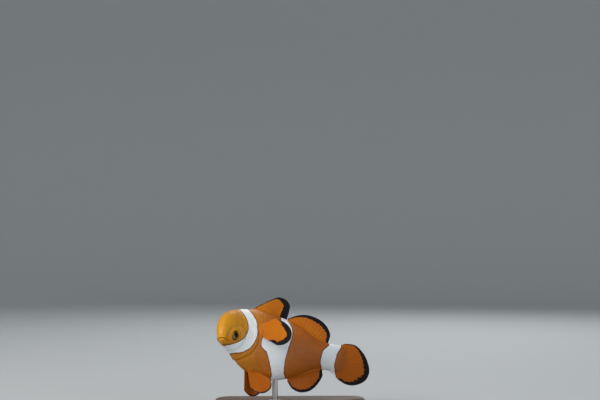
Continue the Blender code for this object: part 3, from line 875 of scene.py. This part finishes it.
def ray_ridges(u, v, rays, fork, width):
    """How far a point of the leaf is on a ray, 0 to 1: bell curves across each ray, which
    parts in two past the first fork and in four past the second."""
    off = np.abs(u * rays - 0.5 - np.round(u * rays - 0.5))
    first = 0.25 * ramp(fork[0], 1.05, v)
    second = 0.125 * ramp(fork[1], 1.15, v)
    thin = width * (1 - 0.5 * ramp(fork[0], 1.0, v))
    return np.maximum(hump((off - first - second) / thin), hump((off - first + second) / thin))


def both(values):
    """A leaf's values on its one face, then the same on its other face, back to front."""
    return np.concatenate([values, values[:, ::-1]], axis=1)


def nearest(flat, edge):
    """Each point's distance from the closest point of an edge."""
    return np.linalg.norm(flat[:, :, None] - edge, axis=-1).min(axis=-1)


def leaf_faces(rows, columns):
    """Quads round both faces of a leaf, with its root and its tip closed."""
    j = np.arange(columns - 1)
    last = 2 * columns - 1 - j
    root = np.stack([last, last - 1, j + 1, j], axis=-1)
    tip = root[:, ::-1] + (rows - 1) * 2 * columns
    return np.concatenate([grid_faces(rows, 2 * columns, closed=True), root, tip])


def leaf(
    name, sheet, flat, node, rays, fork, width, stout, flesh, black, feather, gold, notch, rear_from
):
    """Closes a fin round its middle sheet. Half the thickness is web, plus the rays' stoutness thinning
    outwards, plus flesh at the root. black is the margin's width along the fin, feather how far it runs
    in between the rays, gold the fin's share of yellow, below 0 a deeper orange that is partly painted
    shade, and notch how far the web draws in between the rays. On the last ray the margin fades out
    towards the root, and is gone a little way out from rear_from."""
    rows, columns = flat.shape[:2]
    u, v = np.meshgrid(np.linspace(0, 1, columns), np.linspace(0, 1, rows))
    ridge = ray_ridges(u, v, rays, fork, width)
    bite = 1 - notch * (1 - ridge[-1:]) * ramp(0.2, 1.0, v)
    points = sheet(u, v * bite)
    behind = nearest(flat, flat[:, -1]) + 6 * ramp(rear_from + 0.6, rear_from, v)
    gaps = np.minimum(nearest(flat, flat[-1]), behind) + 6 * (1 - bite)

    reach = np.linalg.norm(np.gradient(points, axis=0), axis=-1).cumsum(axis=0) / UNIT
    half = WEB_HALF + stout * ridge * (1 - RAY_TAPER * v)
    half = half + flesh * hump(np.clip(reach - FLESH_OUT, 0, None) / FLESH_FADE)
    half = half * (EDGE_THIN + (1 - EDGE_THIN) * ramp(0.0, 0.5, gaps))
    normal = np.cross(np.gradient(points, axis=1), np.gradient(points, axis=0))
    normal /= np.linalg.norm(normal, axis=-1, keepdims=True) + 1e-15
    offset = normal * half[..., None] * UNIT
    ring = np.concatenate([points + offset, (points - offset)[:, ::-1]], axis=1)

    bar = np.full(u.shape, -4.0)
    if flat.shape[-1] == 2:
        bar = inside_bar(flat[..., 0], flat[..., 1])
    share = through(black, u)
    fray = feather * share / max(black) * (0.4 - ridge)
    marks = {
        "bar": both(bar),
        "gold": np.full(ring.shape[:2], gold),
        "black": both(np.where(share > 0.01, share + fray - gaps, -9.0)),
        "rim": both(0.8 * ramp(0.34, 0.1, gaps) * ramp(0.2, 0.9, share)),
        "ray": both(ridge),
        "along": both(reach),
    }
    piece(name, ring, leaf_faces(rows, columns), FIN, (node,), marks=marks)


def traced(points, u):
    """Smooth curve through (x, z) points, read at u from 0 to 1."""
    return [through(values, u) for values in zip(*points)]


def median_fin(name, node, roots, margin, embed, rows, columns, wave, **look):
    """A fin on the middle line: straight rays between a root line, sunk by embed, and a
    margin, both smooth curves through (x, z) points, with a slight wave across."""
    def flat(u, v):
        root, edge = traced(roots, u), traced(margin, u)
        root[1] = root[1] - embed * np.sign(edge[1] - root[1])
        return np.stack([root[i] + (edge[i] - root[i]) * v for i in range(2)], axis=-1)

    def sheet(u, v):
        place = flat(u, v)
        across = wave * np.sin(9 * u + 1.0) * ramp(0.3, 1.0, v)
        return posed(np.stack([place[..., 0], across, place[..., 1]], axis=-1))

    u, v = np.meshgrid(np.linspace(0, 1, columns), np.linspace(0, 1, rows))
    leaf(name, sheet, flat(u, v), node, **look)


median_fin(
    "spiny_dorsal", "dorsal_fin_spiny",
    ((31, 23.6), (36, 24.2), (42, 23.8), (48, 22.3), (54.3, 19.7)),
    ((31.5, 24.6), (35.8, 28.2), (41.4, 32.2), (47.4, 35.6), (52.8, 35.0), (56.3, 31.4), (56.2, 26.6)),
    embed=2.5, rows=64, columns=181, rays=10, fork=(1.2, 1.3), width=0.13, stout=0.26, flesh=0.8,
    black=(0.5, 0.6, 0.7, 1.3, 4.0, 5.8, 6.1), feather=0.3, gold=0.15, notch=0.02,
    rear_from=-0.6, wave=0.25,
)
median_fin(
    "soft_dorsal", "dorsal_fin_soft",
    ((55.6, 19.3), (62, 17.9), (70, 15.4), (78, 11.8), (85, 9.2)),
    ((56.0, 21.7), (62, 24.9), (69, 26.4), (77, 25.4), (83.8, 22), (88, 16.4), (87.4, 10)),
    embed=2.5, rows=64, columns=257, rays=15, fork=(0.5, 0.75), width=0.16, stout=0.17, flesh=0.8,
    black=(0.8, 1.2, 2.0, 3.0, 3.1, 2.5, 1.5), feather=0.5, gold=0.0, notch=0.004,
    rear_from=1.0, wave=0.2,
)
# The anal, tail and pelvic fins take gold below 0: a deeper orange that is partly painted shade
median_fin(
    "anal_leaf", "anal_fin",
    ((59.5, -18.8), (66, -16.6), (73, -13.6), (80, -10.4), (85, -9.2)),
    ((60.4, -21.6), (64.6, -25.6), (71, -27), (78.6, -24.6), (84, -19.4), (87, -13.4), (86.2, -10)),
    embed=2.5, rows=64, columns=225, rays=13, fork=(0.5, 0.75), width=0.16, stout=0.17, flesh=0.8,
    black=(0.6, 1.3, 1.9, 2.2, 2.3, 2.3, 1.5), feather=0.5, gold=-0.6, notch=0.004,
    rear_from=1.0, wave=0.2,
)
median_fin(
    "tail_leaf", "caudal_fin",
    ((91, 7.8), (95.5, 4.6), (96, 0), (95.5, -4.6), (91, -7.8)),
    (
        (101, 12.4), (109, 13.0), (116.4, 9.4), (122, 4.2), (126.2, -2.6),
        (124.9, -9.4), (117.4, -14.1), (108.6, -15.2), (101, -13.4),
    ),
    embed=0.0, rows=84, columns=289, rays=17, fork=(0.5, 0.72), width=0.16, stout=0.19, flesh=0.5,
    black=(0.4, 0.9, 2.1, 3.5, 4.8, 5.0, 2.8, 1.7, 0.8), feather=1.0, gold=-0.6, notch=0.005,
    rear_from=1.0, wave=0.3,
)


# The paired fins. The pectoral fins are rounded fans on fleshy lobes behind the gill covers,
# spread to brake and steer; the pelvic fins hang from the breast. They are the same thin
# leaves on branching rays, each growing out of its own root.


def root_frame(point):
    """World place, and the fish's own tail, right and up directions there, as columns."""
    point = np.asarray(point, float)
    right = (posed(point + (0, 0.5, 0)) - posed(point - (0, 0.5, 0))) / UNIT
    up = (posed(point + (0, 0, 0.5)) - posed(point - (0, 0, 0.5))) / UNIT
    return posed(point), np.stack([np.cross(right, up), right, up], axis=-1)


def way(back, out, up):
    """Direction of length 1 from its parts back, out and up."""
    made = np.array((back, out, up), float)
    return made / np.linalg.norm(made)


FAN_SUNK = 2.0  # how far a fan's root lies in the body


def fan_fin(name, node, root, base, first, last, lengths, cup, flip, rows, columns, wave, **look):
    """A fan: rays spread evenly in angle from first to last, starting along a short base, with
    lengths read along it, bowed by cup and sunk into the body at the root."""
    def flat(u, v):
        u, v = u[..., None], v[..., None]
        start = np.array(base[0]) * (1 - u) + np.array(base[1]) * u
        spread = math.acos(float(first @ last))
        ray = (first * np.sin((1 - u) * spread) + last * np.sin(u * spread)) / math.sin(spread)
        normal = np.cross(first, last)
        normal /= np.linalg.norm(normal)
        bow = cup * v * v * np.sin(np.pi * u) * normal
        bow = bow + wave * np.sin(11 * u + 0.6) * ramp(0.35, 1.0, v) * normal
        inward = -(first + last) / np.linalg.norm(first + last)
        return (start + FAN_SUNK * inward * (1 - v) + ray * through(lengths, u) * v + bow) * flip

    def sheet(u, v):
        return place + flat(u, v) @ axes.T * UNIT

    place, axes = root_frame(root * flip)
    u, v = np.meshgrid(np.linspace(0, 1, columns), np.linspace(0, 1, rows))
    leaf(name, sheet, flat(u, v), node, **look)


PECTORAL_ROOT = body(*on_side(35.0, 7.6))
# How far the pectoral fins stand out from the body, in degrees
PECTORAL_SWING = {"right": 42.0, "left": 60.0}
for side, flip in (("right", np.ones(3)), ("left", MIRROR)):
    out = math.sin(math.radians(PECTORAL_SWING[side]))
    level = math.cos(math.radians(PECTORAL_SWING[side]))
    fan_fin(
        "pectoral_leaf_" + side, "pectoral_fin_" + side, PECTORAL_ROOT,
        ((-0.6, 0, 3.8), (0.6, 0, -3.8)), way(level, out, 0.28), way(level, out, -0.62),
        (11.5, 16.5, 21.7, 25.6, 26, 21.8, 14.3), cup=1.6, flip=flip, rows=76, columns=257,
        rays=16, fork=(0.45, 0.7), width=0.16, stout=0.17, flesh=0.5,
        black=(0.0, 0.8, 2.7, 4.0, 4.0, 2.6, 1.0), feather=0.3, gold=0.12, notch=0.006,
        rear_from=0.05, wave=0.18,
    )
    # The pelvic fins take gold below 0: a deeper orange that is partly painted shade
    fan_fin(
        "pelvic_leaf_" + side, "pelvic_fin_" + side, np.array((31.5, 2.4, -18.6)),
        ((-1.6, 0, 0), (1.8, 0, 0)), way(0.10, 0.20, -1.0), way(1.0, 0.34, -0.42),
        (13, 16.5, 18, 18, 16.5, 12.5), cup=0.8, flip=flip, rows=60, columns=121,
        rays=6, fork=(0.4, 0.65), width=0.16, stout=0.19, flesh=0.4,
        black=(0.3, 0.8, 1.0, 0.9, 0.8, 0.4), feather=0.2, gold=-0.6, notch=0.01,
        rear_from=1.0, wave=0.15,
    )


# The stand. A solid walnut block with eased edges, oiled and rubbed, and one straight rod of
# brushed steel, screwed up into the belly, with a turned steel collar where it enters the wood.

LATE_WOOD = (0.085, 0.040, 0.019, 1)
EARLY_WOOD = (0.135, 0.066, 0.031, 1)
DARK_STREAK = (0.050, 0.022, 0.010, 1)
PALE_BAND = (0.20, 0.105, 0.052, 1)
WOOD_PORE = (0.022, 0.010, 0.005, 1)
DULL_STEEL = (0.50, 0.50, 0.51, 1)
BRIGHT_STEEL = (0.66, 0.66, 0.67, 1)


def walnut_finish():
    """Oiled walnut: long wavering growth rings, dark pores along the grain and a soft gloss."""
    made, tree, shader, place = new_finish("oiled_walnut")
    sway = noise(tree, stretched(tree, place, (7.0, 95.0, 70.0)), 1.1, 3.0, 0.5)
    ring = maths(tree, "SINE", times(tree, sway, 60.0))
    streak = noise(tree, stretched(tree, place, (60.0, 1500.0, 1500.0)), 1.0, 4.0, 0.6)
    pore = noise(tree, stretched(tree, place, (320.0, 5200.0, 5200.0)), 1.0, 2.0)
    pore = mask(tree, pore, 0.60, 0.70)
    band = noise(tree, stretched(tree, place, (12.0, 45.0, 45.0)), 1.0)
    colour = mixed(tree, mask(tree, ring, -1.0, 1.0), LATE_WOOD, EARLY_WOOD)
    darker = mixed(tree, 0.35, colour, DARK_STREAK)
    colour = mixed(tree, mask(tree, streak, 0.35, 0.7), darker, colour)
    paler = mixed(tree, 0.45, colour, PALE_BAND)
    colour = mixed(tree, mask(tree, band, 0.35, 0.65), colour, paler)
    colour = mixed(tree, times(tree, pore, 0.6), colour, WOOD_PORE)
    tree.links.new(colour, shader.inputs["Base Color"])
    rough(tree, shader, pore, 0.36, 0.60)
    raised(tree, shader, less(tree, 1.0, pore), 0.00004, 0.5)
    shader.inputs["Specular IOR Level"].default_value = 0.4
    shader.inputs["Coat Weight"].default_value = 0.10
    shader.inputs["Coat Roughness"].default_value = 0.3
    return made


def steel_finish():
    """Brushed steel: fine lines along the rod in gloss and bump."""
    made, tree, shader, place = new_finish("brushed_steel")
    brushed = noise(tree, stretched(tree, place, (9000.0, 9000.0, 250.0)), 1.0, 2.0)
    tree.links.new(mixed(tree, brushed, DULL_STEEL, BRIGHT_STEEL), shader.inputs["Base Color"])
    rough(tree, shader, brushed, 0.22, 0.40)
    shader.inputs["Metallic"].default_value = 1.0
    raised(tree, shader, brushed, 0.00001, 0.3)
    return made


WALNUT = walnut_finish()
STEEL = steel_finish()
for node, finish in (("stand_base", WALNUT), ("stand_rod", STEEL), ("stand_collar", STEEL)):
    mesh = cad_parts[node].data
    mesh.materials.clear()
    mesh.materials.append(finish)


# The studio. A pale round floor that sweeps up into a wall on every side, one broad soft lamp
# from the upper left in front, a weaker one from the right and a low rim from behind.

FLOOR_RADIUS = 1.1
SWEEP_RADIUS = 0.5
WALL_TOP = 1.5
PAPER = (0.46, 0.48, 0.49, 1)
climb = np.linspace(0, np.pi / 2, 16)
out = FLOOR_RADIUS + SWEEP_RADIUS * np.sin(climb)
up = SWEEP_RADIUS - SWEEP_RADIUS * np.cos(climb)
profile = np.concatenate([
    [(0.002, 0.0), (0.4, 0.0)], np.stack([out, up], axis=-1), [(FLOOR_RADIUS + SWEEP_RADIUS, WALL_TOP)],
])
out, up = profile[:, :1], profile[:, 1:]
bearing = np.linspace(0, 2 * np.pi, 96, endpoint=False)
sweep = np.stack([out * np.cos(bearing), out * np.sin(bearing), up + 0 * bearing], axis=-1)
mesh = bpy.data.meshes.new("studio_sweep")
mesh.from_pydata(
    sweep.reshape(-1, 3).tolist(), [],
    grid_faces(len(profile), len(bearing), closed=True)[:, ::-1].tolist() + [tuple(range(len(bearing)))],
)
mesh.shade_smooth()
pale, _, shader, _ = new_finish("pale_paper")
shader.inputs["Base Color"].default_value = PAPER
shader.inputs["Roughness"].default_value = 0.8
mesh.materials.append(pale)
floor = bpy.data.objects.new("studio_sweep", mesh)
bpy.context.scene.collection.objects.link(floor)

world = bpy.data.worlds.new("studio_light")
world.use_nodes = True
world.node_tree.nodes["Background"].inputs["Color"].default_value = (0.90, 0.95, 1.0, 1)
world.node_tree.nodes["Background"].inputs["Strength"].default_value = 0.42
bpy.context.scene.world = world
bpy.context.scene.view_settings.view_transform = "Standard"

# Each lamp's place, width in metres, power in watts and tint
LAMPS = (
    ("key", (-0.58, -0.46, 0.55), 0.50, 6.6, (1.0, 0.97, 0.93)),
    ("fill", (0.55, -0.60, 0.30), 0.60, 1.8, (0.92, 0.96, 1.0)),
    ("rim", (0.20, 0.60, 0.50), 0.35, 2.0, (1.0, 1.0, 1.0)),
)
for name, spot, size, power, tint in LAMPS:
    data = bpy.data.lights.new(name, "AREA")
    data.energy = power
    data.shape = "DISK"
    data.size = size
    data.color = tint
    lamp = bpy.data.objects.new(name, data)
    toward = FISH_AT - np.array(spot)
    toward /= np.linalg.norm(toward)
    yaw = math.atan2(toward[1], toward[0]) - math.pi / 2
    lamp.rotation_euler = (math.pi / 2 + math.asin(toward[2]), 0, yaw)
    lamp.location = spot
    bpy.context.scene.collection.objects.link(lamp)

lens = bpy.data.cameras.new("front_view")
lens.lens = 60.0
lens.sensor_width = 36.0
lens.clip_start = 0.01
camera = bpy.data.objects.new("front_view", lens)
camera.location = (-0.009, -0.43285, 0.06758)
camera.rotation_euler = (math.radians(90 + 3.34), 0, math.radians(-1.71))
bpy.context.scene.collection.objects.link(camera)
bpy.context.scene.camera = camera
